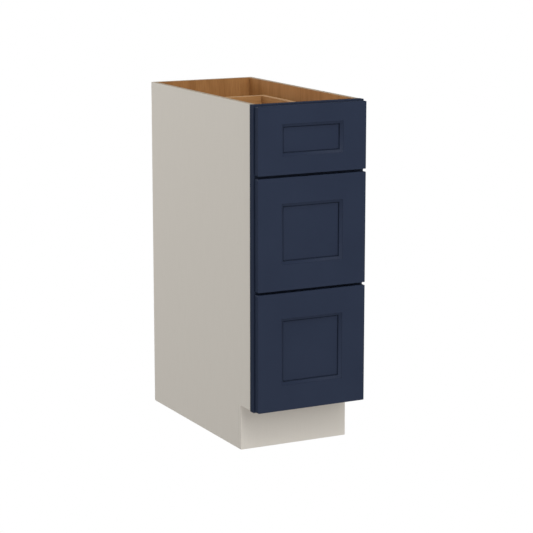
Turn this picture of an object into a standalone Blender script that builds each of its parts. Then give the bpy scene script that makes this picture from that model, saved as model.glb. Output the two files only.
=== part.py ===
"""Narrow bathroom vanity cabinet with three drawers: a face-frame case, shaker drawer fronts,
dovetailed drawer boxes and full-extension slides under each box.

Metres, +Z up, the front facing -Y. The origin is the middle of the base. Every drawer, and every
middle slide member, is parented to an empty that stands on its slide axis.
"""

import bmesh
import bpy
from mathutils import Vector

# Case. Height, width and depth are the face frame's and the case's outer sizes.
WIDTH = 0.3048
HEIGHT = 0.8763
CASE_DEPTH = 0.6096
GAP = 0.0003  # left between pieces that touch
PANEL_THICKNESS = 0.0127
PANEL_INSET = 0.0032  # how far the face frame stands past the end panels
JOINT_DEPTH = 0.00635  # rabbets and dadoes in the end panels
TOE_HEIGHT = 0.1143
TOE_RECESS = 0.0762  # from the face frame's front to the toe kick's front

# Face frame.
FRAME_THICKNESS = 0.01905
STILE_WIDTH = 0.0381
TOP_RAIL_WIDTH = 0.0254
RAIL_WIDTH = 0.0381

# Drawer fronts, which stand off the face frame on bumpers.
FRONT_THICKNESS = 0.015875
BUMPER_GAP = 0.003175
SIDE_REVEAL = 0.0031
FRONT_STILE_FLAT = 0.0642
STICKING_WIDTH = 0.0092  # the bevelled inner edge of a front's frame
BEVEL_DEPTH = 0.0064
PANEL_RECESS = 0.0092
FRONT_PANEL_THICKNESS = 0.0048
FRONT_GROOVE_DEPTH = 0.0080
PANEL_CLEARANCE = 0.0005  # between a floating panel's edge and the end of its groove

# Drawer boxes.
BOX_LENGTH = 0.4572
BOX_SIDE_CLEARANCE = 0.0051  # on each side, from the box to the face frame's opening
BOX_WALL = 0.0159
BOX_LIFT = 0.0160  # from the rail below to the box's lower edge
BOX_BOTTOM_THICKNESS = 0.00635
BOX_BOTTOM_RECESS = 0.0127
BOX_GROOVE_DEPTH = 0.00635
DOVETAIL_PITCH = 0.0254
DOVETAIL_FLARE = 0.0018  # each side of a tail widens this much over the wall's thickness
RUNNER_NOTCH_WIDTH = 0.0310

# Slides: sheet-metal profiles, as distances inward from the opening's edge and up from the rail.
SLIDE_LENGTH = 0.4572
SLIDE_SETBACK = 0.0025
SHEET = 0.0013
RAIL_TO_SLIDE = 0.0015
OPENING_TO_SLIDE = 0.0005
TRAVEL = 0.4500
MIDDLE_SHARE = 0.5  # the middle member goes half as far as its drawer

# Each drawer: name, its front's lower edge and height, its front's rail width without the bevel,
# its box's height and how many dovetails hold each corner of the box.
DRAWERS = (
    ("top", 0.7055, 0.1676, 0.0447, 0.1070, 4),
    ("middle", 0.4199, 0.2786, 0.0642, 0.2032, 8),
    ("bottom", 0.1164, 0.2965, 0.0642, 0.2032, 8),
)

# Levels and planes that follow from the sizes above.
TOTAL_DEPTH = CASE_DEPTH + BUMPER_GAP + FRONT_THICKNESS
FRONT_FACE_Y = -TOTAL_DEPTH / 2
FRONT_BACK_Y = FRONT_FACE_Y + FRONT_THICKNESS
FRAME_FRONT_Y = FRONT_BACK_Y + BUMPER_GAP
FRAME_BACK_Y = FRAME_FRONT_Y + FRAME_THICKNESS
REAR_Y = FRAME_FRONT_Y + CASE_DEPTH
BACK_PANEL_Y = REAR_Y - PANEL_THICKNESS
OPENING_X = WIDTH / 2 - STILE_WIDTH
PANEL_OUTER_X = WIDTH / 2 - PANEL_INSET
PANEL_INNER_X = PANEL_OUTER_X - PANEL_THICKNESS
BOX_OUTER_X = OPENING_X - BOX_SIDE_CLEARANCE
BOX_INNER_X = BOX_OUTER_X - BOX_WALL
BOX_FRONT_Y = FRONT_BACK_Y + GAP
BOX_REAR_Y = BOX_FRONT_Y + BOX_LENGTH

# Colour, roughness and metallic value of each finish.
FINISHES = {
    "navy_paint": ((0.030, 0.037, 0.063), 0.45, 0.0),
    "greige_laminate": ((0.51, 0.48, 0.44), 0.50, 0.0),
    "maple_plywood": ((0.48, 0.31, 0.17), 0.45, 0.0),
    "solid_maple": ((0.56, 0.39, 0.23), 0.42, 0.0),
    "zinc_plated_steel": ((0.60, 0.61, 0.62), 0.35, 1.0),
}


def clear_scene():
    for thing in list(bpy.data.objects):
        bpy.data.objects.remove(thing)


def finished(name, mesh, finish):
    """Adds an object for the mesh, with its own material in one of the finishes."""
    colour, roughness, metallic = FINISHES[finish]
    material = bpy.data.materials.new(f"{name}_{finish}")
    material.use_nodes = True
    shader = material.node_tree.nodes["Principled BSDF"]
    shader.inputs["Base Color"].default_value = (*colour, 1.0)
    shader.inputs["Roughness"].default_value = roughness
    shader.inputs["Metallic"].default_value = metallic
    mesh.materials.append(material)
    thing = bpy.data.objects.new(name, mesh)
    bpy.context.scene.collection.objects.link(thing)
    return thing


def mesh_from(name, bm):
    """Turns a bmesh into a mesh whose faces point out."""
    bmesh.ops.remove_doubles(bm, verts=bm.verts, dist=1e-6)
    bmesh.ops.dissolve_degenerate(bm, edges=bm.edges, dist=1e-6)
    bmesh.ops.recalc_face_normals(bm, faces=bm.faces)
    mesh = bpy.data.meshes.new(name)
    bm.to_mesh(mesh)
    bm.free()
    return mesh


def prism_mesh(name, outline, start, depth):
    """Extrudes an outline, given as points, from the vector start along the vector depth."""
    bm = bmesh.new()
    corners = [bm.verts.new(Vector(point) + Vector(start)) for point in outline]
    face = bm.faces.new(corners)
    swept = bmesh.ops.extrude_face_region(bm, geom=[face])["geom"]
    moved = [item for item in swept if isinstance(item, bmesh.types.BMVert)]
    bmesh.ops.translate(bm, verts=moved, vec=Vector(depth))
    return mesh_from(name, bm)


def block_mesh(name, x, y, z):
    """A block between the two values given for each axis."""
    outline = [(x[0], y[0], 0), (x[1], y[0], 0), (x[1], y[1], 0), (x[0], y[1], 0)]
    return prism_mesh(name, outline, (0, 0, z[0]), (0, 0, z[1] - z[0]))


def board(name, finish, x, y, z):
    return finished(name, block_mesh(name, x, y, z), finish)


def combine(thing, operation, *tools):
    """Cuts the tool meshes from an object, or joins them to it, and keeps the result."""
    for tool_mesh in tools:
        tool = bpy.data.objects.new("tool", tool_mesh)
        bpy.context.scene.collection.objects.link(tool)
        modifier = thing.modifiers.new("combine", "BOOLEAN")
        modifier.operation = operation
        modifier.solver = "EXACT"
        modifier.object = tool
        result = bpy.data.meshes.new_from_object(
            thing.evaluated_get(bpy.context.evaluated_depsgraph_get())
        )
        thing.modifiers.clear()
        old = thing.data
        thing.data = result
        bpy.data.meshes.remove(old)
        bpy.data.objects.remove(tool)
        bpy.data.meshes.remove(tool_mesh)
    return thing


def sides():
    """The left and right hand: a name and the sign of its X."""
    return (("left", -1), ("right", 1))


def spans(sign, near, far):
    """Two X values in rising order, mirrored to the side that sign gives."""
    return tuple(sorted((sign * near, sign * far)))


# --- Case ---------------------------------------------------------------------------------------


def end_panels(floor_top):
    """The sides of the case: a toe notch at the front, a dado for the floor, a rabbet for the back."""
    front = FRAME_BACK_Y + GAP
    notch = FRAME_FRONT_Y + TOE_RECESS + PANEL_THICKNESS + GAP
    notch_top = TOE_HEIGHT + GAP
    profile = [(notch, 0), (REAR_Y, 0), (REAR_Y, HEIGHT), (front, HEIGHT)]
    profile += [(front, notch_top), (notch, notch_top)]
    floor_bottom = floor_top - PANEL_THICKNESS
    for hand, sign in sides():
        name = f"{hand}_end_panel"
        outline = [(0, y, z) for y, z in profile]
        thickness = -sign * PANEL_THICKNESS
        mesh = prism_mesh(name, outline, (sign * PANEL_OUTER_X, 0, 0), (thickness, 0, 0))
        panel = finished(name, mesh, "greige_laminate")
        cut = spans(sign, PANEL_INNER_X - JOINT_DEPTH, PANEL_INNER_X + JOINT_DEPTH)
        dado_z = (floor_bottom - GAP, floor_top + GAP)
        dado = block_mesh("dado", cut, (front - JOINT_DEPTH, REAR_Y + JOINT_DEPTH), dado_z)
        rabbet_y = (BACK_PANEL_Y - GAP, REAR_Y + JOINT_DEPTH)
        rabbet_z = (-JOINT_DEPTH, HEIGHT + JOINT_DEPTH)
        rabbet = block_mesh("rabbet", cut, rabbet_y, rabbet_z)
        combine(panel, "DIFFERENCE", dado, rabbet)


def case_boards(floor_top):
    housed = PANEL_INNER_X + JOINT_DEPTH - GAP
    floor_z = (floor_top - PANEL_THICKNESS, floor_top)
    floor_y = (FRAME_BACK_Y + GAP, BACK_PANEL_Y - GAP)
    board("bottom_panel", "maple_plywood", (-housed, housed), floor_y, floor_z)
    board("back_panel", "maple_plywood", (-housed, housed), (BACK_PANEL_Y, REAR_Y), (0, HEIGHT))
    toe_front = FRAME_FRONT_Y + TOE_RECESS
    toe_x = (-PANEL_OUTER_X, PANEL_OUTER_X)
    toe_y = (toe_front, toe_front + PANEL_THICKNESS)
    board("toe_kick", "greige_laminate", toe_x, toe_y, (0, TOE_HEIGHT))


def rail_levels():
    """Lower and upper edge of each face-frame rail. A middle rail is centred on a gap between fronts."""
    levels = {"top_rail": (HEIGHT - TOP_RAIL_WIDTH, HEIGHT)}
    rails = ("upper_middle_rail", "lower_middle_rail")
    for rail, above, below in zip(rails, DRAWERS, DRAWERS[1:]):
        centre = (above[1] + below[1] + below[2]) / 2
        levels[rail] = (centre - RAIL_WIDTH / 2, centre + RAIL_WIDTH / 2)
    levels["bottom_rail"] = (TOE_HEIGHT, TOE_HEIGHT + RAIL_WIDTH)
    return levels


def face_frame(levels):
    depth = (FRAME_FRONT_Y, FRAME_BACK_Y)
    for hand, sign in sides():
        x = spans(sign, OPENING_X, WIDTH / 2)
        board(f"{hand}_stile", "navy_paint", x, depth, (TOE_HEIGHT, HEIGHT))
    inside = OPENING_X - GAP
    for name, z in levels.items():
        board(name, "navy_paint", (-inside, inside), depth, z)


# --- Slides -------------------------------------------------------------------------------------


def fixed_profile():
    """A tall outer flange, a web under the drawer's side, and a lipped track. (inward, up)"""
    top, track, reach, lip = 0.0300, 0.0130, 0.0475, 0.0055
    wall, low = OPENING_TO_SLIDE, RAIL_TO_SLIDE
    return [
        (wall, top), (wall, low), (reach, low), (reach, track), (reach - lip, track),
        (reach - lip, track - SHEET), (reach - SHEET, track - SHEET), (reach - SHEET, low + SHEET),
        (wall + SHEET, low + SHEET), (wall + SHEET, top),
    ]  # fmt: skip


def middle_profile():
    """A channel that opens inward, between the fixed track and the drawer's runner."""
    near, far, low, high = 0.0260, 0.0440, 0.0040, 0.0220
    return [
        (far, low), (near, low), (near, high), (far, high), (far, high - SHEET),
        (near + SHEET, high - SHEET), (near + SHEET, low + SHEET), (far, low + SHEET),
    ]  # fmt: skip


def runner_profile():
    """The drawer's own member: a cap with one long leg and one short, lipped leg."""
    near, far, high = 0.0220, 0.0500, BOX_LIFT + BOX_BOTTOM_RECESS - GAP
    long_leg, short_leg, lip = 0.0120, 0.0170, 0.0045
    return [
        (near, high), (near, long_leg), (near + SHEET, long_leg), (near + SHEET, high - SHEET),
        (far - SHEET, high - SHEET), (far - SHEET, short_leg + SHEET),
        (far - lip, short_leg + SHEET), (far - lip, short_leg), (far, short_leg), (far, high),
    ]  # fmt: skip


def slide_member(name, profile, sign, rail_top, y):
    """Sweeps a slide profile between two Y values, on the side that sign gives."""
    outline = [(sign * (OPENING_X - inward), 0, rail_top + up) for inward, up in profile]
    mesh = prism_mesh(name, outline, (0, y[0], 0), (0, y[1] - y[0], 0))
    return finished(name, mesh, "zinc_plated_steel")


def rear_bracket_mesh(sign, rail_top, y_end):
    """The plate that carries a fixed member's rear end, turned outward where it meets the back."""
    overlap, height, foot = 0.0600, 0.0240, 0.0170
    wall = OPENING_X - OPENING_TO_SLIDE
    start, end = y_end - overlap, BACK_PANEL_Y - GAP
    outline = [
        (wall - SHEET, start), (wall, start), (wall, end - SHEET), (wall + foot, end - SHEET),
        (wall + foot, end), (wall - SHEET, end),
    ]  # fmt: skip
    corners = [(sign * x, y, 0) for x, y in outline]
    base = rail_top + RAIL_TO_SLIDE
    return prism_mesh("rear_bracket", corners, (0, 0, base), (0, 0, height))


def slides(drawer, rail_top, holder, middle_holder):
    """Fixed, middle and drawer members on both sides of one drawer."""
    fixed_y = (FRAME_FRONT_Y + SLIDE_SETBACK, FRAME_FRONT_Y + SLIDE_SETBACK + SLIDE_LENGTH)
    middle_y = (BOX_FRONT_Y + BOX_WALL, fixed_y[1] - BOX_WALL)
    runner_y = (BOX_FRONT_Y + BOX_WALL + GAP, BOX_REAR_Y)
    for hand, sign in sides():
        fixed_name = f"{drawer}_slide_fixed_{hand}"
        fixed = slide_member(fixed_name, fixed_profile(), sign, rail_top, fixed_y)
        combine(fixed, "UNION", rear_bracket_mesh(sign, rail_top, fixed_y[1]))
        middle_name = f"{drawer}_slide_middle_{hand}"
        middle = slide_member(middle_name, middle_profile(), sign, rail_top, middle_y)
        hang(middle, middle_holder)
        runner_name = f"{drawer}_slide_runner_{hand}"
        runner = slide_member(runner_name, runner_profile(), sign, rail_top, runner_y)
        hang(runner, holder)


# --- Drawer fronts ------------------------------------------------------------------------------


def sticking_profile(flat):
    """The moulded edge of a front's frame, past its flat: (distance from the outer edge, depth)."""
    inner = flat + STICKING_WIDTH
    groove_top = PANEL_RECESS - GAP
    groove_bottom = PANEL_RECESS + FRONT_PANEL_THICKNESS + GAP
    groove_end = inner - FRONT_GROOVE_DEPTH
    return [
        (flat, 0), (inner, BEVEL_DEPTH), (inner, groove_top), (groove_end, groove_top),
        (groove_end, groove_bottom), (inner, groove_bottom), (inner, FRONT_THICKNESS),
        (flat, FRONT_THICKNESS),
    ]  # fmt: skip


def front_member_mesh(name, flat, length, shoulder, place):
    """A stile or rail of a front. Its moulded edge is mitred at 45 degrees and starts at the
    shoulder, which is 0 on a rail. place turns (along, across, depth) into a point."""
    bm = bmesh.new()

    def vertex(along, across, depth):
        return bm.verts.new(place(along, across, depth))

    def ring(along, across):
        return [vertex(along, across, depth) for depth in (0, FRONT_THICKNESS)]

    starts = ring(0, 0), ring(0, flat), ring(shoulder, flat)
    ends = ring(length, 0), ring(length, flat), ring(length - shoulder, flat)
    profile = sticking_profile(flat)
    first, last = [], []
    for across, depth in profile:
        run = shoulder + across - flat
        first.append(vertex(run, across, depth))
        last.append(vertex(length - run, across, depth))
    for depth in (0, 1):
        corners = [ring_points[depth] for ring_points in (*starts, *reversed(ends))]
        bm.faces.new(corners)
    bm.faces.new((starts[0][0], starts[0][1], ends[0][1], ends[0][0]))
    for rings in (starts, ends):
        bm.faces.new((rings[0][0], rings[0][1], rings[1][1], rings[1][0]))
        if shoulder > 0:
            bm.faces.new((rings[1][0], rings[1][1], rings[2][1], rings[2][0]))
    bm.faces.new(first)
    bm.faces.new(last)
    for i in range(len(profile) - 1):
        bm.faces.new((first[i], first[i + 1], last[i + 1], last[i]))
    return mesh_from(name, bm)


def drawer_front(drawer, low, height, rail_flat, holder):
    """Two stiles, two rails and a flat panel held in their grooves."""
    half = WIDTH / 2 - SIDE_REVEAL
    inside = half - FRONT_STILE_FLAT
    for hand, sign in sides():

        def place(along, across, depth):
            return (sign * (half - across), FRONT_FACE_Y + depth, low + along)

        name = f"{drawer}_front_stile_{hand}"
        mesh = front_member_mesh(name, FRONT_STILE_FLAT, height, rail_flat, place)
        hang(finished(name, mesh, "navy_paint"), holder)
    for end, sign in (("lower", 1), ("upper", -1)):
        edge = low if sign > 0 else low + height

        def place(along, across, depth):
            return (along + GAP - inside, FRONT_FACE_Y + depth, edge + sign * across)

        name = f"{drawer}_front_rail_{end}"
        mesh = front_member_mesh(name, rail_flat, 2 * (inside - GAP), 0, place)
        hang(finished(name, mesh, "navy_paint"), holder)
    hidden = FRONT_GROOVE_DEPTH - PANEL_CLEARANCE
    x = inside - STICKING_WIDTH + hidden
    rail = rail_flat + STICKING_WIDTH - hidden
    y = FRONT_FACE_Y + PANEL_RECESS
    panel_y = (y, y + FRONT_PANEL_THICKNESS)
    panel_z = (low + rail, low + height - rail)
    hang(board(f"{drawer}_front_panel", "navy_paint", (-x, x), panel_y, panel_z), holder)


# --- Drawer boxes -------------------------------------------------------------------------------


def tail_edges(low, height, count, flare, slack):
    """The lower and upper edge of each tail, at the box's outer face and at the shoulder."""
    pitch = height / count
    half = pitch * 0.27 + slack
    edges = []
    for i in range(count):
        centre = low + pitch * (i + 0.5)
        for sign in (-1, 1):
            edges.append((centre + sign * (half + flare), centre + sign * (half - flare)))
    return edges


def box_side_mesh(name, sign, low, height, count):
    """A side board, whose outline has a row of dovetails at each end."""
    shoulder = BOX_WALL + GAP
    edges = tail_edges(low, height, count, DOVETAIL_FLARE, -GAP)
    outline = []
    for y_end, inward, rows in ((BOX_FRONT_Y, 1, edges), (BOX_REAR_Y, -1, edges[::-1])):
        root = y_end + inward * shoulder
        outline.append((root, low if inward > 0 else low + height))
        for first, second in zip(rows[::2], rows[1::2]):
            outline += [(root, first[1]), (y_end, first[0]), (y_end, second[0]), (root, second[1])]
        outline.append((root, low + height if inward > 0 else low))
    points = [(0, y, z) for y, z in outline]
    start = (sign * BOX_OUTER_X, 0, 0)
    return prism_mesh(name, points, start, (-sign * BOX_WALL, 0, 0))


def box_end_mesh(name, y_outer, inward, low, height, count):
    """A front or back board, with pins that fill the spaces between the sides' tails."""
    bm = bmesh.new()
    edges = [(low, low), *tail_edges(low, height, count, DOVETAIL_FLARE, 0)]
    edges.append((low + height, low + height))
    depths = (y_outer, y_outer + inward * BOX_WALL)
    shoulder = BOX_INNER_X - GAP
    columns = {}
    for sign in (-1, 1):
        columns[sign] = [
            [bm.verts.new((sign * shoulder, y, z)) for y, z in zip(depths, pair)] for pair in edges
        ]
    for face in (0, 1):
        rising = [pair[face] for pair in columns[-1]]
        falling = [pair[face] for pair in reversed(columns[1])]
        bm.faces.new(rising + falling)
    for level in (0, -1):
        left, right = columns[-1][level], columns[1][level]
        bm.faces.new((left[0], left[1], right[1], right[0]))
    for sign in (-1, 1):
        for i in range(len(edges) - 1):
            lower, upper = columns[sign][i], columns[sign][i + 1]
            face = bm.faces.new((lower[0], lower[1], upper[1], upper[0]))
            if i % 2 == 0:
                swept = bmesh.ops.extrude_discrete_faces(bm, faces=[face])["faces"][0]
                reach = sign * (BOX_OUTER_X - shoulder)
                bmesh.ops.translate(bm, verts=swept.verts, vec=(reach, 0, 0))
    return mesh_from(name, bm)


def drawer_box(drawer, low, height, count, holder):
    """Four dovetailed boards round a bottom that sits in their grooves, clear of the slides."""
    floor = low + BOX_BOTTOM_RECESS
    floor_z = (floor, floor + BOX_BOTTOM_THICKNESS)
    reach_x = BOX_INNER_X + BOX_GROOVE_DEPTH
    front_y = BOX_FRONT_Y + BOX_WALL - BOX_GROOVE_DEPTH
    rear_y = BOX_REAR_Y - BOX_WALL + BOX_GROOVE_DEPTH

    def groove():
        z = (floor_z[0] - GAP, floor_z[1] + GAP)
        return block_mesh("groove", (-reach_x, reach_x), (front_y, rear_y), z)

    boards = []
    for hand, sign in sides():
        name = f"{drawer}_box_side_{hand}"
        boards.append((name, box_side_mesh(name, sign, low, height, count)))
    for end, y, inward in (("front", BOX_FRONT_Y, 1), ("back", BOX_REAR_Y, -1)):
        name = f"{drawer}_box_{end}"
        boards.append((name, box_end_mesh(name, y, inward, low, height, count)))
    for name, mesh in boards:
        thing = combine(finished(name, mesh, "solid_maple"), "DIFFERENCE", groove())
        if name.endswith("back"):
            combine(thing, "DIFFERENCE", *(runner_notch(sign, low, floor) for _, sign in sides()))
        hang(thing, holder)
    slack = PANEL_CLEARANCE
    x = (slack - reach_x, reach_x - slack)
    bottom_y = (front_y + slack, rear_y - slack)
    hang(board(f"{drawer}_box_bottom", "maple_plywood", x, bottom_y, floor_z), holder)


def runner_notch(sign, low, floor):
    """The space that a slide's runner takes under the box's back."""
    x = spans(sign, BOX_INNER_X - RUNNER_NOTCH_WIDTH, BOX_OUTER_X + GAP)
    y = (BOX_REAR_Y - BOX_WALL - GAP, BOX_REAR_Y + GAP)
    return block_mesh("notch", x, y, (low - GAP, floor + GAP))


# --- Assembly -----------------------------------------------------------------------------------


def slide_axis(name, z, travel):
    """An empty on a slide's line of travel along -Y, which carries whatever moves along it."""
    empty = bpy.data.objects.new(name, None)
    empty.location = (0, FRAME_FRONT_Y, z)
    empty["travel"] = travel
    bpy.context.scene.collection.objects.link(empty)
    bpy.context.view_layer.update()
    return empty


def hang(thing, empty):
    """Parents a piece to an empty without moving it, its origin on the empty."""
    thing.data.transform(empty.matrix_world.inverted())
    thing.parent = empty


def build():
    clear_scene()
    levels = rail_levels()
    floor_top = levels["bottom_rail"][1]
    end_panels(floor_top)
    case_boards(floor_top)
    face_frame(levels)
    rails_below = ("upper_middle_rail", "lower_middle_rail", "bottom_rail")
    for (drawer, low, height, rail_flat, box_height, count), rail in zip(DRAWERS, rails_below):
        rail_top = levels[rail][1]
        box_low = rail_top + BOX_LIFT
        holder = slide_axis(f"{drawer}_drawer_axis", box_low, TRAVEL)
        middle_holder = slide_axis(f"{drawer}_middle_axis", rail_top, TRAVEL * MIDDLE_SHARE)
        drawer_front(drawer, low, height, rail_flat, holder)
        drawer_box(drawer, box_low, box_height, count, holder)
        slides(drawer, rail_top, holder, middle_holder)


build()
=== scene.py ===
"""The looks of a narrow bathroom vanity cabinet with three drawers.

The CAD frame gives every place and size. This script gives the fronts and the face frame their
moulded, rounded and painted surfaces, adds the small hardware, makes every material, and sets up
the studio and the camera.
"""

import math

import bmesh
import bpy
from mathutils import Matrix, Vector


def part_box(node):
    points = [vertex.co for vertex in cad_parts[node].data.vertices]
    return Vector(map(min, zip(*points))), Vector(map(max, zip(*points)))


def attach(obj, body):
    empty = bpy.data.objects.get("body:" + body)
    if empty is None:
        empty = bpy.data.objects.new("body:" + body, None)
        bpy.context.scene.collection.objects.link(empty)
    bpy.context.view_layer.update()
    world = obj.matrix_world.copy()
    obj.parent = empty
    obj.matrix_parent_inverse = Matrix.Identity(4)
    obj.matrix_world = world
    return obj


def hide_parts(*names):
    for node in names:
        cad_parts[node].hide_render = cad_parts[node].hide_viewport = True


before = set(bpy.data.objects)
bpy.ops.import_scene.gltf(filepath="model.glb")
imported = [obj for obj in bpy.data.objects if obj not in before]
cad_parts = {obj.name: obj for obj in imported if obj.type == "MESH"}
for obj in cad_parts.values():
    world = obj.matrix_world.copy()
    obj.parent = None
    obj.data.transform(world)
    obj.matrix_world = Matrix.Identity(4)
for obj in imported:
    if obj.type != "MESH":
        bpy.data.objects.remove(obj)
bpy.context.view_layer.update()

MM = 0.001
X, Y, Z = 0, 1, 2
DRAWERS = ("top", "middle", "bottom")
HANDS = (("left", -1), ("right", 1))  # each with the sign of its x

# The camera stands to the left of the cabinet, a little above it, and looks down.
CAMERA_PLACE = (-2.2313, -4.4244, 1.4054)
CAMERA_YAW = math.radians(27.12)
CAMERA_PITCH = math.radians(11.28)
CAMERA_LENS = 131.1

# The studio. Round the horizon the glow changes from the floor's to the room's, and towards the
# rear it fades to a share of itself.
STAGE_RADIUS = 30.0
ROOM_GLOW = 0.48
FLOOR_GLOW = 0.56
HORIZON_BLEND = 0.15
REAR_SHARE = 0.25
REAR_FADE = 0.6
SOFTBOX_SIZE = 2.4
SOFTBOX_DISTANCE = 4.5
LIGHT_AIM = Vector((0.0, 0.0, 0.55))
# Name, azimuth (0 in front, towards +X as it grows), elevation, and how brightly the light alone
# would show white paper that faces it. The two front lights stand high and low, so that neither
# shines straight into the gaps between the drawer fronts.
SOFTBOXES = (
    ("front_softbox", 5, 26, 0.23),
    ("low_front_softbox", 5, -20, 0.12),
    ("left_softbox", -95, 18, 0.24),
    ("top_softbox", -10, 50, 0.34),
    ("right_softbox", 100, 10, 0.15),
    ("rear_softbox", -150, 25, 0.30),
)

# Painted fronts and frame. Depths are measured back from the front's face.
STICKING_WIDTH = 9.2 * MM
STEP_DEPTH = 1.0 * MM
BEVEL_WIDTH = 6.8 * MM
BEVEL_DEPTH = 6.4 * MM
QUIRK_DEPTH = 10.8 * MM
CORNER_ROUNDING = 2.6 * MM
FRONT_ROUNDING = 0.4 * MM
MOULDING_SHARE = 0.12  # the moulding's rounding, as a share of the corner rounding
FRAME_ROUNDING = 0.7 * MM
BOARD_EASING = 0.5 * MM
SHEET_EASING = 0.2 * MM
WELD_DISTANCE = 0.01 * MM

# Small hardware. Profiles and rings are in millimetres.
ROUND_POINTS = 24
SHARP_ANGLE = math.radians(35)
SHEET_THICKNESS = 1.3 * MM
BUMPER_INSET = 15.0 * MM
BUMPER_PROFILE = ((0, 4.0), (1.2, 4.0), (2.2, 3.5), (2.8, 2.4), (3.1, 1.0))  # height, radius
WASHER_THICKNESS = 1.0 * MM
WASHER_RIM = 0.7 * MM
WASHER_CHAMFER = 0.4 * MM
# A screw head of radius 1: the radius and height of each ring, then the reach, half width and
# height of its cross recess at the top and at the bottom.
HEAD_PROFILE = ((1.0, 0.0), (1.0, 0.26), (0.9, 0.48), (0.68, 0.62))
HEAD_RECESS = ((0.52, 0.12, 0.62), (0.40, 0.08, 0.15))
FRONT_SCREW_X = 55.0 * MM
FRONT_SCREW_UP = 45.0 * MM  # from the box's lower edge
FRONT_SCREW_DOWN = 30.0 * MM  # from its upper edge
FRONT_SCREW_HEAD = 4.2 * MM
FRONT_SCREW_WASHER = 8.0 * MM
STILE_SCREW_SEAT = 1.8 * MM
STILE_SCREW_BACK = 7.0 * MM
STILE_SCREW_HEIGHTS = (8.5 * MM, 22.5 * MM)
STILE_SCREW_HEAD = 3.2 * MM
BRACKET_SCREW_X = 8.5 * MM
BRACKET_SCREW_HEIGHTS = (6.0 * MM, 18.0 * MM)
BRACKET_SCREW_HEAD = 2.8 * MM
# Each ring of a clip: how far behind the box's front wall it lies, its nearest and farthest |x|,
# its lowest and highest point above the box's lower edge, and the cut at its corners.
CLIP_BODY = (
    (0.4, 41.0, 62.5, 1.6, 11.6, 0.8),
    (1.4, 40.0, 63.5, 0.6, 12.4, 1.5),
    (26.0, 40.0, 63.5, 0.6, 12.4, 1.5),
    (40.0, 48.0, 63.5, 3.4, 12.4, 1.5),
    (42.0, 49.0, 62.5, 4.4, 11.8, 0.8),
)
CLIP_LEVER = (
    (3.0, 37.0, 41.0, 2.4, 10.4, 0.6),
    (14.0, 34.0, 36.6, 2.0, 10.8, 0.6),
    (26.0, 31.4, 33.6, 2.0, 10.8, 0.6),
    (34.0, 30.4, 32.6, 3.0, 9.8, 0.6),
)
# The wheel's place in the same terms, then the height, radius and ridge of each of its rings.
WHEEL_PLACE = (56.0 * MM, 41.0 * MM, 7.6 * MM)
WHEEL_PROFILE = ((0, 3.8, 0), (0.5, 4.2, 0.5), (3.0, 4.2, 0.5), (3.5, 3.8, 0))
DAMPER_INSET = 13.0 * MM
DAMPER_Y = 30.0 * MM
DAMPER_HEIGHT = 7.6 * MM
DAMPER_PROFILE = (
    (0, 3.0), (0, 4.8), (1.5, 5.4), (118, 5.4), (119.5, 4.8),
    (119.5, 1.6), (160, 1.6), (160, 3.4), (166, 3.4), (167, 2.6),
)  # fmt: skip
BAND_PLACES = (12.0, 100.0)
BAND_PROFILE = ((0, 5.0), (0, 5.7), (7.0, 5.7), (7.0, 5.0))

# Colours, in linear values. A wood's tones run from light to dark.
NAVY = ((0.0180, 0.0262, 0.0510), (0.0202, 0.0290, 0.0555))
GREIGE = ((0.655, 0.615, 0.554), (0.672, 0.632, 0.570))
VENEER = ((0.48, 0.240, 0.086), (0.425, 0.202, 0.068), (0.35, 0.158, 0.050))
MAPLE = ((0.50, 0.276, 0.112), (0.43, 0.228, 0.088), (0.36, 0.180, 0.066))
# Painted light: the paler tone that the drawer boards' up-facing faces get, as if lit from above.
TOP_LIGHT_TONE = (0.62, 0.40, 0.22)
END_GRAIN = (0.25, 0.128, 0.052)
PLY_EDGE = ((0.52, 0.44, 0.34), (0.38, 0.30, 0.21))
ZINC = ((0.47, 0.49, 0.51), (0.60, 0.61, 0.61))
RUBBER = ((0.50, 0.50, 0.47), (0.58, 0.58, 0.55))
GREY_PLASTIC = ((0.19, 0.20, 0.21), (0.24, 0.25, 0.26))
DARK_PLASTIC = ((0.030, 0.031, 0.033), (0.045, 0.046, 0.048))

# Wood grain. A stretch is the pattern's scale along the grain, next to 1 across it.
PLY_LAYERS = 9
FIGURE_STRETCH = 0.09
FIBRE_STRETCH = 0.035
BOARD_SHIFT = 9.0
MAPLE_FIGURE = 46.0
VENEER_FIGURE = 60.0
FACING_COSINE = 0.6  # a surface faces an axis when the cosine between them is larger


# --- Materials ----------------------------------------------------------------------------------


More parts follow.
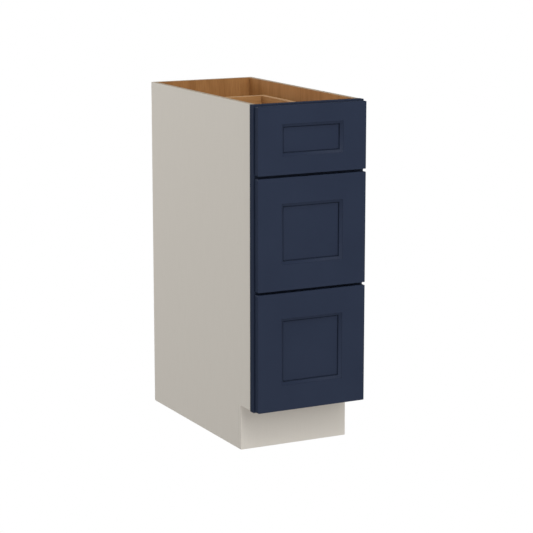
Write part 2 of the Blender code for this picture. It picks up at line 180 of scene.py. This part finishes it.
class Surface:
    """A Principled material that is built node by node."""

    def __init__(self, name, **values):
        self.material = bpy.data.materials.new(name)
        self.material.use_nodes = True
        self.tree = self.material.node_tree
        self.shader = self.tree.nodes["Principled BSDF"]
        for key, value in values.items():
            socket = key.replace("_", " ").title().replace("Ior", "IOR")
            self.shader.inputs[socket].default_value = value
        self.place = self.node("ShaderNodeTexCoord").outputs["Object"]

    def node(self, kind, inputs=None, **settings):
        """Adds a node, gives it its settings, and feeds its inputs."""
        made = self.tree.nodes.new(kind)
        for key, value in settings.items():
            setattr(made, key, value)
        for key, value in (inputs or {}).items():
            self.feed(value, made.inputs[key])
        return made

    def feed(self, value, socket):
        """Links an output to a socket, or sets the socket to a plain value."""
        if isinstance(value, bpy.types.NodeSocket):
            self.tree.links.new(value, socket)
        else:
            socket.default_value = value

    def math(self, operation, first, second=0.0):
        return self.node("ShaderNodeMath", {0: first, 1: second}, operation=operation).outputs[0]

    def stretched(self, scale, place=None):
        """The place, scaled along each axis."""
        inputs = {"Vector": place or self.place, "Scale": scale}
        return self.node("ShaderNodeMapping", inputs).outputs[0]

    def noise(self, place, scale, detail=2.0, roughness=0.5, distortion=0.0):
        inputs = {"Vector": place, "Scale": scale, "Detail": detail}
        inputs |= {"Roughness": roughness, "Distortion": distortion}
        return self.node("ShaderNodeTexNoise", inputs).outputs[0]

    def ramp(self, factor, stops):
        """A colour ramp. Its first two stops are its ends."""
        made = self.node("ShaderNodeValToRGB", {"Fac": factor})
        for i, (position, colour) in enumerate(stops):
            points = made.color_ramp.elements
            point = points[i] if i < 2 else points.new(position)
            point.position = position
            point.color = (*colour, 1.0)
        return made.outputs["Color"]

    def mix(self, factor, first, second, blend="MIX"):
        """Two colours, blended. The node's colour sockets are inputs 6 and 7 and output 2."""
        made = self.node("ShaderNodeMix", data_type="RGBA", blend_type=blend)
        for key, value in ((0, factor), (6, first), (7, second)):
            self.feed(value, made.inputs[key])
        return made.outputs[2]

    def scaled(self, factor, low, high):
        """A 0 to 1 factor turned into a value from low to high."""
        inputs = {"Value": factor, "To Min": low, "To Max": high}
        return self.node("ShaderNodeMapRange", inputs).outputs[0]

    def bump(self, height, strength, distance):
        inputs = {"Height": height, "Strength": strength, "Distance": distance}
        return self.node("ShaderNodeBump", inputs).outputs[0]

    def finish(self, colour=None, roughness=None, normal=None):
        """Feeds the shader, and gives back the material."""
        ends = {"Base Color": colour, "Roughness": roughness, "Normal": normal}
        for key, value in ends.items():
            if value is not None:
                self.feed(value, self.shader.inputs[key])
        return self.material

    def facing(self, axis, sign):
        """1 where the surface faces along an axis, in the direction that sign gives."""
        normal = self.node("ShaderNodeNewGeometry").outputs["True Normal"]
        along = self.node("ShaderNodeSeparateXYZ", {0: normal}).outputs[axis]
        return self.math("GREATER_THAN", self.math("MULTIPLY", along, float(sign)), FACING_COSINE)


def per_board(surface):
    """The place, moved by an amount that differs from object to object, so no two boards match."""
    chance = surface.node("ShaderNodeObjectInfo").outputs["Random"]
    shift = surface.math("MULTIPLY", chance, BOARD_SHIFT)
    offset = surface.node("ShaderNodeCombineXYZ", {0: shift, 1: shift, 2: shift}).outputs[0]
    inputs = {0: surface.place, 1: offset}
    return surface.node("ShaderNodeVectorMath", inputs, operation="ADD").outputs[0]


def along_grain(along, stretch):
    """The scale of a pattern that is drawn out along an axis."""
    scale = [1.0, 1.0, 1.0]
    scale[along] = stretch
    return scale


def wood_grain(surface, along, tones, figure):
    """Colour, roughness and height of maple whose grain runs along an axis. A large figure gives
    many growth rings."""
    light, middle, dark = tones
    board = per_board(surface)
    place = surface.stretched(along_grain(along, FIGURE_STRETCH), board)
    drift = surface.noise(place, 5.0, detail=3.0, distortion=0.5)
    rings = surface.math("SINE", surface.math("MULTIPLY", drift, figure))
    rings = surface.ramp(rings, [(0.2, (1.0, 1.0, 1.0)), (0.95, (0.83, 0.79, 0.74))])
    bands = surface.noise(place, 30.0, detail=4.0, roughness=0.6, distortion=0.4)
    colour = surface.ramp(bands, [(0.30, dark), (0.72, light), (0.5, middle)])
    colour = surface.mix(0.4, colour, rings, "MULTIPLY")
    fibre_place = surface.stretched(along_grain(along, FIBRE_STRETCH), board)
    fibres = surface.noise(fibre_place, 620.0, detail=3.0, roughness=0.65)
    fibre_tone = surface.ramp(fibres, [(0.34, (0.72, 0.68, 0.62)), (0.60, (1.0, 1.0, 1.0))])
    colour = surface.mix(0.7, colour, fibre_tone, "MULTIPLY")
    return colour, surface.scaled(fibres, 0.52, 0.38), fibres


def ply_edge(surface, axis, low, thickness, layers, tones):
    """The layers of plywood seen on an edge, stacked along an axis from the value low."""
    light, dark = tones
    across = surface.node("ShaderNodeSeparateXYZ", {0: surface.place}).outputs[axis]
    depth = surface.math("MULTIPLY", surface.math("SUBTRACT", across, low), layers / thickness)
    layer = surface.math("PINGPONG", depth, 1.0)
    streaks = surface.noise(surface.stretched((1.0, 0.2, 0.2)), 420.0, detail=3.0, roughness=0.6)
    mixed = surface.math("ADD", layer, surface.scaled(streaks, -0.22, 0.22))
    return surface.ramp(mixed, [(0.35, dark), (0.65, light)])


def navy_paint():
    """Satin sprayed paint: a fine orange peel, and a tone that drifts very slightly."""
    surface = Surface("navy_paint", specular_ior_level=0.10)
    drift = surface.noise(surface.place, 7.0, detail=3.0)
    colour = surface.ramp(drift, [(0.3, NAVY[0]), (0.7, NAVY[1])])
    peel = surface.noise(surface.place, 620.0, roughness=0.45)
    cloud = surface.noise(surface.place, 60.0, detail=3.0)
    return surface.finish(colour, surface.scaled(cloud, 0.44, 0.54), surface.bump(peel, 0.05, MM))


def greige_colour(surface):
    """The colour of warm grey laminate, with a faint vertical grain."""
    grain = surface.noise(surface.stretched((1.0, 1.0, 0.06)), 260.0, detail=3.0, roughness=0.6)
    return surface.ramp(grain, [(0.25, GREIGE[0]), (0.75, GREIGE[1])])


def greige_laminate():
    """The laminate with its fine stipple, for a board that has it on every side."""
    surface = Surface("greige_laminate", specular_ior_level=0.3)
    stipple = surface.noise(surface.place, 1500.0, roughness=0.6)
    roughness = surface.scaled(stipple, 0.50, 0.60)
    return surface.finish(greige_colour(surface), roughness, surface.bump(stipple, 0.03, 0.3 * MM))


def solid_maple(along):
    """Drawer boards: darker on their end grain, and with a paler tone painted on their up-facing
    faces as light from above.
    """
    surface = Surface(f"solid_maple_{'xyz'[along]}", specular_ior_level=0.2)
    colour, roughness, fibres = wood_grain(surface, along, MAPLE, MAPLE_FIGURE)
    ends = surface.math("ADD", surface.facing(along, 1), surface.facing(along, -1))
    pores = surface.noise(surface.place, 900.0, detail=3.0, roughness=0.7)
    end_colour = surface.mix(surface.scaled(pores, 0.0, 0.5), (*END_GRAIN, 1.0), colour)
    colour = surface.mix(ends, colour, end_colour)
    # Painted light: every up-facing face is painted paler, as if lit from above.
    top_light_mask = surface.math("MULTIPLY", surface.facing(Z, 1), 0.6)
    colour = surface.mix(top_light_mask, colour, (*TOP_LIGHT_TONE, 1.0))
    return surface.finish(colour, roughness, surface.bump(fibres, 0.12, 0.3 * MM))


def maple_plywood(name, along, thin, laminate_side=0):
    """A plywood board that is thin along one axis. Its layers show on its edges. laminate_side is
    the side, -1 or 1, that has laminate, or 0 where both sides are maple."""
    low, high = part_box(name)
    surface = Surface(f"{name}_finish", specular_ior_level=0.2)
    colour, roughness, fibres = wood_grain(surface, along, VENEER, VENEER_FIGURE)
    edge = ply_edge(surface, thin, low[thin], high[thin] - low[thin], PLY_LAYERS, PLY_EDGE)
    faces = surface.math("ADD", surface.facing(thin, 1), surface.facing(thin, -1))
    colour = surface.mix(faces, edge, colour)
    if laminate_side:
        outer = surface.facing(thin, laminate_side)
        colour = surface.mix(outer, colour, greige_colour(surface))
    return surface.finish(colour, roughness, surface.bump(fibres, 0.08, 0.3 * MM))


def zinc_plated_steel():
    """Bright zinc: fine streaks along the rolled direction and a faintly blue cast."""
    surface = Surface("zinc_plated_steel", metallic=1.0)
    streaks = surface.noise(surface.stretched((1.0, 0.03, 1.0)), 1100.0, detail=3.0, roughness=0.6)
    cloud = surface.noise(surface.place, 26.0, detail=4.0, roughness=0.6)
    colour = surface.ramp(cloud, [(0.3, ZINC[0]), (0.7, ZINC[1])])
    roughness = surface.scaled(streaks, 0.24, 0.46)
    return surface.finish(colour, roughness, surface.bump(streaks, 0.08, 0.1 * MM))


def moulded_plastic(name, tones):
    """Moulded plastic or rubber with a fine matt grain."""
    surface = Surface(name, specular_ior_level=0.4)
    grain = surface.noise(surface.place, 1800.0, roughness=0.6)
    cloud = surface.noise(surface.place, 90.0)
    colour = surface.ramp(cloud, [(0.3, tones[0]), (0.7, tones[1])])
    roughness = surface.scaled(grain, 0.42, 0.58)
    return surface.finish(colour, roughness, surface.bump(grain, 0.1, 0.2 * MM))


# --- Shapes -------------------------------------------------------------------------------------


def piece(name, bm, material, body):
    """Turns a bmesh into a piece of the object that rides on a body."""
    bmesh.ops.remove_doubles(bm, verts=bm.verts, dist=WELD_DISTANCE)
    bmesh.ops.recalc_face_normals(bm, faces=bm.faces)
    mesh = bpy.data.meshes.new(name)
    bm.to_mesh(mesh)
    bm.free()
    mesh.materials.append(material)
    thing = bpy.data.objects.new(name, mesh)
    bpy.context.scene.collection.objects.link(thing)
    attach(thing, body)
    return thing


def round_edges(thing, width, segments=3, weights=None):
    """Rounds an object's edges: all its sharp ones, or those that have a weight, in proportion."""
    bevel = thing.modifiers.new("rounding", "BEVEL")
    bevel.width = width
    bevel.segments = segments
    bevel.limit_method = "WEIGHT" if weights else "ANGLE"
    bevel.use_clamp_overlap = True
    if weights:
        layer = thing.data.attributes.new("bevel_weight_edge", "FLOAT", "EDGE")
        for edge in thing.data.edges:
            ends = [thing.data.vertices[i].co for i in edge.vertices]
            layer.data[edge.index].value = weights(*ends)
        thing.data.shade_smooth()
        bevel.harden_normals = True


def add_rings(bm, rings, turn=Matrix()):
    """Adds a closed shape through rings of points, which all have the same number of points."""
    loops = [[bm.verts.new(turn @ Vector(point)) for point in ring] for ring in rings]
    for loop, following in zip(loops, loops[1:]):
        for i in range(len(loop)):
            j = (i + 1) % len(loop)
            bm.faces.new((loop[i], loop[j], following[j], following[i]))
    bm.faces.new(loops[0])
    bm.faces.new(loops[-1])


def rectangle_rings(rings):
    """A closed shape through rectangles (x0, x1, z0, z1, y)."""
    bm = bmesh.new()
    corners = [((x0, y, z0), (x1, y, z0), (x1, y, z1), (x0, y, z1)) for x0, x1, z0, z1, y in rings]
    add_rings(bm, corners)
    return bm


def inset(rectangle, amount):
    """A rectangle (x0, x1, z0, z1) made smaller on every side, or larger by a negative amount."""
    x0, x1, z0, z1 = rectangle
    return x0 + amount, x1 - amount, z0 + amount, z1 - amount


def drawer_front(drawer, material):
    """One seamless painted front. A small step and a bevel run down from its frame to a narrow
    groove, the quirk, and the flat panel lies inside that."""
    low, inner_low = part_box(f"{drawer}_front_stile_left")
    inner_high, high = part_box(f"{drawer}_front_stile_right")
    low_rail_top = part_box(f"{drawer}_front_rail_lower")[1].z
    high_rail_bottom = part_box(f"{drawer}_front_rail_upper")[0].z
    panel_front, panel_back = (corner.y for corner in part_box(f"{drawer}_front_panel"))
    panel = (inner_low.x, inner_high.x, low_rail_top, high_rail_bottom)
    flat = inset(panel, -STICKING_WIDTH)
    bevel_foot = inset(flat, BEVEL_WIDTH)
    outer = (low.x, high.x, low.z, high.z)
    # The rings run from the panel's back, round the stiles and rails, to the panel's face.
    rings = [
        (*panel, panel_back), (*panel, high.y), (*outer, high.y), (*outer, low.y), (*flat, low.y),
        (*flat, low.y + STEP_DEPTH), (*bevel_foot, low.y + BEVEL_DEPTH),
        (*bevel_foot, low.y + QUIRK_DEPTH), (*panel, low.y + QUIRK_DEPTH), (*panel, panel_front),
    ]  # fmt: skip
    bm = rectangle_rings(rings)
    front = piece(f"{drawer}_drawer_front", bm, material, f"{drawer}_drawer")

    def outside(point):
        """How many of the front's outer sides a point lies on."""
        across = min(point.x - low.x, high.x - point.x) < MM
        return across + (min(point.z - low.z, high.z - point.z) < MM)

    def weight(first, second):
        """The rounding of an edge, as a share of the corner rounding."""
        if outside(first) == 2 and outside(second) == 2:
            corner = first.x == second.x and first.z == second.z
            return 1.0 if corner else FRONT_ROUNDING / CORNER_ROUNDING
        return MOULDING_SHARE if abs(first.y - second.y) < WELD_DISTANCE else 0.0

    round_edges(front, CORNER_ROUNDING, segments=4, weights=weight)
    parts = ("stile_left", "stile_right", "rail_lower", "rail_upper", "panel")
    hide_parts(*(f"{drawer}_front_{part}" for part in parts))


def face_frame(material):
    """The stiles and rails as one painted frame with three openings."""
    low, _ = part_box("left_stile")
    _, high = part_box("right_stile")
    xs = [low.x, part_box("left_stile")[1].x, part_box("right_stile")[0].x, high.x]
    rails = ("bottom_rail", "lower_middle_rail", "upper_middle_rail", "top_rail")
    zs = [corner.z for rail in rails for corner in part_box(rail)]
    bm = bmesh.new()
    grid = [[bm.verts.new((x, low.y, z)) for z in zs] for x in xs]
    for i in range(len(xs) - 1):
        for j in range(len(zs) - 1):
            opening = i == 1 and j % 2 == 1
            if not opening:
                bm.faces.new((grid[i][j], grid[i + 1][j], grid[i + 1][j + 1], grid[i][j + 1]))
    swept = bmesh.ops.extrude_face_region(bm, geom=list(bm.faces))["geom"]
    moved = [item for item in swept if isinstance(item, bmesh.types.BMVert)]
    bmesh.ops.translate(bm, verts=moved, vec=(0, high.y - low.y, 0))
    thing = piece("face_frame", bm, material, "cabinet")
    thing.data.shade_smooth()
    round_edges(thing, FRAME_ROUNDING)
    thing.modifiers["rounding"].harden_normals = True
    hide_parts("left_stile", "right_stile", *rails)


# --- Small hardware -----------------------------------------------------------------------------


def towards(place, direction):
    """The turn that puts the origin at a place, and +Z along a direction."""
    turn = Vector(direction).to_track_quat("Z", "Y").to_matrix().to_4x4()
    return Matrix.Translation(place) @ turn


def circle(radius, height, ridge=0.0):
    """Points round a circle. A ridge makes every second one stand in by that much."""
    points = []
    for i in range(ROUND_POINTS):
        angle = 2 * math.pi * i / ROUND_POINTS
        reach = radius - ridge * (i % 2)
        points.append((reach * math.cos(angle), reach * math.sin(angle), height))
    return points


def cross(reach, half, height):
    """The outline of a cross recess of a reach and half width, with as many points as a circle."""
    middle = (reach + half) / 2
    quarter = [(reach, 0), (reach, half), (middle, half)]
    quarter += [(half, half), (half, middle), (half, reach)]
    points = []
    for _ in range(4):
        points += [(x, y, height) for x, y in quarter]
        quarter = [(-y, x) for x, y in quarter]
    return points


def turned(bm, place, direction, rings):
    """Adds a turned shape. Its rings are (distance along the direction, radius)."""
    add_rings(bm, [circle(radius, height) for height, radius in rings], towards(place, direction))


def screw(bm, place, direction, radius, washer=0.0):
    """A pan head with a cross recess, on a washer where the washer's radius is given."""
    base = WASHER_THICKNESS if washer else 0.0
    if washer:
        profile = [(0, washer), (WASHER_RIM, washer), (base, washer - WASHER_CHAMFER)]
        turned(bm, place, direction, profile)
    rings = [circle(wide * radius, base + high * radius) for wide, high in HEAD_PROFILE]
    for reach, half, high in HEAD_RECESS:
        rings.append(cross(reach * radius, half * radius, base + high * radius))
    add_rings(bm, rings, towards(place, direction))


def hardware(name, bm, material, body):
    """A piece with flat faces, sharp rims and smooth rounds."""
    thing = piece(name, bm, material, body)
    thing.data.shade_smooth()
    thing.data.set_sharp_from_angle(angle=SHARP_ANGLE)


def front_bumpers(drawer, rubber):
    """Four soft bumpers that keep a closed front off the face frame."""
    low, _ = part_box(f"{drawer}_front_stile_left")
    _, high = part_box(f"{drawer}_front_stile_right")
    profile = [(height * MM, radius * MM) for height, radius in BUMPER_PROFILE]
    bm = bmesh.new()
    for x in (low.x + BUMPER_INSET, high.x - BUMPER_INSET):
        for z in (low.z + BUMPER_INSET, high.z - BUMPER_INSET):
            turned(bm, (x, high.y, z), (0, 1, 0), profile)
    hardware(f"{drawer}_front_bumpers", bm, rubber, f"{drawer}_drawer")


def front_screws(drawer, steel):
    """Four screws with washers, inside the box, that hold its front on."""
    low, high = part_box(f"{drawer}_box_front")
    bm = bmesh.new()
    for x in (-FRONT_SCREW_X, FRONT_SCREW_X):
        for z in (low.z + FRONT_SCREW_UP, high.z - FRONT_SCREW_DOWN):
            screw(bm, (x, high.y, z), (0, 1, 0), FRONT_SCREW_HEAD, FRONT_SCREW_WASHER)
    hardware(f"{drawer}_front_screws", bm, steel, f"{drawer}_drawer")


def chamfered(x0, x1, z0, z1, y, cut):
    """A rectangle across Y whose corners are cut off."""
    return [
        (x0 + cut, y, z0), (x1 - cut, y, z0), (x1, y, z0 + cut), (x1, y, z1 - cut),
        (x1 - cut, y, z1), (x0 + cut, y, z1), (x0, y, z1 - cut), (x0, y, z0 + cut),
    ]  # fmt: skip


def clip_shape(rings, sign, wall, bottom):
    """The rings of a clip's body or lever, on the side that sign gives."""
    shape = []
    for back, near, far, low, high, cut in rings:
        x0, x1 = sorted((sign * near * MM, sign * far * MM))
        z0, z1 = bottom + low * MM, bottom + high * MM
        shape.append(chamfered(x0, x1, z0, z1, wall + back * MM, cut * MM))
    return shape


def slide_clips(drawer, plastic):
    """The locking clips under a drawer's front: a body, a finger lever and a height wheel each."""
    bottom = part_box(f"{drawer}_box_front")[0].z
    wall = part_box(f"{drawer}_box_front")[1].y
    wheel = [circle(radius * MM, height * MM, ridge * MM) for height, radius, ridge in WHEEL_PROFILE]
    x, back, up = WHEEL_PLACE
    bm = bmesh.new()
    for _, sign in HANDS:
        for rings in (CLIP_BODY, CLIP_LEVER):
            add_rings(bm, clip_shape(rings, sign, wall, bottom))
        add_rings(bm, wheel, towards((sign * x, wall + back, bottom + up), (0, 1, 0)))
    hardware(f"{drawer}_slide_clips", bm, plastic, f"{drawer}_drawer")


def stile_edge(hand, sign):
    """The x of a stile's edge at the drawer openings."""
    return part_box(f"{hand}_stile")[sign < 0].x


def slide_screws(drawer, steel):
    """The screws that hold the fixed members to the frame's stiles and to the back."""
    bm = bmesh.new()
    for hand, sign in HANDS:
        low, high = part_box(f"{drawer}_slide_fixed_{hand}")
        opening = stile_edge(hand, sign)
        flange = opening - sign * STILE_SCREW_SEAT
        for up in STILE_SCREW_HEIGHTS:
            place = (flange, low.y + STILE_SCREW_BACK, low.z + up)
            screw(bm, place, (-sign, 0, 0), STILE_SCREW_HEAD)
        foot = opening + sign * BRACKET_SCREW_X
        for up in BRACKET_SCREW_HEIGHTS:
            screw(bm, (foot, high.y - SHEET_THICKNESS, low.z + up), (0, -1, 0), BRACKET_SCREW_HEAD)
    hardware(f"{drawer}_slide_screws", bm, steel, "cabinet")


def slide_dampers(drawer, plastic):
    """The soft-close damper beside each slide: a cylinder, its bands and its rod."""
    cylinder = [(along * MM, radius * MM) for along, radius in DAMPER_PROFILE]
    bm = bmesh.new()
    for hand, sign in HANDS:
        low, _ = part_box(f"{drawer}_slide_fixed_{hand}")
        place = (stile_edge(hand, sign) - sign * DAMPER_INSET, DAMPER_Y, low.z + DAMPER_HEIGHT)
        turned(bm, place, (0, 1, 0), cylinder)
        for start in BAND_PLACES:
            band = [((start + along) * MM, radius * MM) for along, radius in BAND_PROFILE]
            turned(bm, place, (0, 1, 0), band)
    hardware(f"{drawer}_slide_dampers", bm, plastic, "cabinet")


# --- CAD nodes ----------------------------------------------------------------------------------


def dress(name, material, easing):
    """Gives a CAD node its material, and eases its sharp edges. The second weld takes away the
    slivers that the easing leaves where a groove runs close past a dovetail."""
    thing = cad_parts[name]
    thing.data.materials.clear()
    thing.data.materials.append(material)
    thing.modifiers.new("weld", "WELD").merge_threshold = WELD_DISTANCE
    round_edges(thing, easing, segments=2)
    thing.modifiers.new("sliver_weld", "WELD").merge_threshold = WELD_DISTANCE


def dress_case(laminate):
    """The case's boards: plywood with laminate outside on the end panels, and the toe kick."""
    for hand, sign in HANDS:
        end_panel = f"{hand}_end_panel"
        dress(end_panel, maple_plywood(end_panel, Z, X, laminate_side=sign), BOARD_EASING)
    dress("back_panel", maple_plywood("back_panel", Z, Y), BOARD_EASING)
    dress("bottom_panel", maple_plywood("bottom_panel", Y, Z), BOARD_EASING)
    dress("toe_kick", laminate, BOARD_EASING)


def dress_drawers(steel):
    """The boxes and slides of every drawer."""
    along_x, along_y = solid_maple(X), solid_maple(Y)
    for drawer in DRAWERS:
        for hand, _ in HANDS:
            dress(f"{drawer}_box_side_{hand}", along_y, BOARD_EASING)
            for member in ("fixed", "middle", "runner"):
                dress(f"{drawer}_slide_{member}_{hand}", steel, SHEET_EASING)
        for end in ("front", "back"):
            dress(f"{drawer}_box_{end}", along_x, BOARD_EASING)
        bottom = f"{drawer}_box_bottom"
        dress(bottom, maple_plywood(bottom, Y, Z), BOARD_EASING)


# --- Stage --------------------------------------------------------------------------------------


def camera_only(thing):
    """Keeps the stage out of the object's lighting, which the world and the softboxes set."""
    thing.visible_diffuse = False
    thing.visible_glossy = False
    thing.visible_transmission = False
    thing.visible_shadow = False


def studio_white():
    """A plain white that glows evenly, and takes no light or shade."""
    surface = Surface("studio_white", roughness=0.9, specular_ior_level=0.0)
    surface.shader.inputs["Base Color"].default_value = (0.0, 0.0, 0.0, 1.0)
    surface.shader.inputs["Emission Color"].default_value = (1.0, 1.0, 1.0, 1.0)
    surface.shader.inputs["Emission Strength"].default_value = 1.0
    return surface.material


def stage():
    """A white floor that runs into a white dome. Only the camera sees them."""
    white = studio_white()
    for name in ("floor", "backdrop"):
        bm = bmesh.new()
        if name == "floor":
            bmesh.ops.create_circle(bm, cap_ends=True, segments=96, radius=STAGE_RADIUS)
        else:
            bmesh.ops.create_icosphere(bm, subdivisions=4, radius=STAGE_RADIUS)
            bmesh.ops.reverse_faces(bm, faces=bm.faces)
        mesh = bpy.data.meshes.new(name)
        bm.to_mesh(mesh)
        bm.free()
        mesh.materials.append(white)
        thing = bpy.data.objects.new(name, mesh)
        bpy.context.scene.collection.objects.link(thing)
        camera_only(thing)


def surroundings():
    """Even white light, a little more of it back up from the floor than down from the room. It
    fades towards +Y, so that the top edges don't catch a bright sheen from behind."""
    world = bpy.data.worlds.new("studio")
    bpy.context.scene.world = world
    world.use_nodes = True
    nodes, links = world.node_tree.nodes, world.node_tree.links
    direction = nodes.new("ShaderNodeTexCoord").outputs["Generated"]
    split = nodes.new("ShaderNodeSeparateXYZ")
    links.new(direction, split.inputs[0])
    blend = nodes.new("ShaderNodeMapRange")
    links.new(split.outputs["Z"], blend.inputs["Value"])
    blend.inputs["From Min"].default_value = -HORIZON_BLEND
    blend.inputs["From Max"].default_value = HORIZON_BLEND
    blend.inputs["To Min"].default_value = FLOOR_GLOW
    blend.inputs["To Max"].default_value = ROOM_GLOW
    behind = nodes.new("ShaderNodeMapRange")
    links.new(split.outputs["Y"], behind.inputs["Value"])
    behind.inputs["From Max"].default_value = REAR_FADE
    behind.inputs["To Min"].default_value = 1.0
    behind.inputs["To Max"].default_value = REAR_SHARE
    glow = nodes.new("ShaderNodeMath")
    glow.operation = "MULTIPLY"
    links.new(blend.outputs[0], glow.inputs[0])
    links.new(behind.outputs[0], glow.inputs[1])
    background = nodes["Background"]
    background.inputs["Color"].default_value = (1.0, 1.0, 1.0, 1.0)
    links.new(glow.outputs[0], background.inputs["Strength"])


def softbox(name, azimuth, elevation, brightness):
    """A square light that shines on the object from an azimuth and an elevation."""
    light = bpy.data.lights.new(name, "AREA")
    light.size = SOFTBOX_SIZE
    light.energy = brightness * (math.pi * SOFTBOX_DISTANCE) ** 2
    lamp = bpy.data.objects.new(name, light)
    bpy.context.scene.collection.objects.link(lamp)
    turn, rise = math.radians(azimuth), math.radians(elevation)
    level = math.cos(rise)
    outwards = Vector((math.sin(turn) * level, -math.cos(turn) * level, math.sin(rise)))
    lamp.location = LIGHT_AIM + outwards * SOFTBOX_DISTANCE
    lamp.rotation_euler = outwards.to_track_quat("Z", "Y").to_euler()


def camera():
    """The camera of the main view."""
    data = bpy.data.cameras.new("camera")
    data.lens = CAMERA_LENS
    data.clip_end = 3 * STAGE_RADIUS
    thing = bpy.data.objects.new("camera", data)
    bpy.context.scene.collection.objects.link(thing)
    thing.location = CAMERA_PLACE
    thing.rotation_euler = (math.pi / 2 - CAMERA_PITCH, 0.0, -CAMERA_YAW)
    bpy.context.scene.camera = thing


# --- The whole ----------------------------------------------------------------------------------

bpy.context.scene.view_settings.view_transform = "Standard"
camera()
surroundings()
for softbox_values in SOFTBOXES:
    softbox(*softbox_values)
stage()

paint = navy_paint()
laminate = greige_laminate()
steel = zinc_plated_steel()
dress_case(laminate)
dress_drawers(steel)
face_frame(paint)
rubber = moulded_plastic("bumper_rubber", RUBBER)
grey_plastic = moulded_plastic("grey_plastic", GREY_PLASTIC)
dark_plastic = moulded_plastic("dark_plastic", DARK_PLASTIC)
for drawer in DRAWERS:
    drawer_front(drawer, paint)
    front_bumpers(drawer, rubber)
    front_screws(drawer, steel)
    slide_clips(drawer, grey_plastic)
    slide_screws(drawer, steel)
    slide_dampers(drawer, dark_plastic)
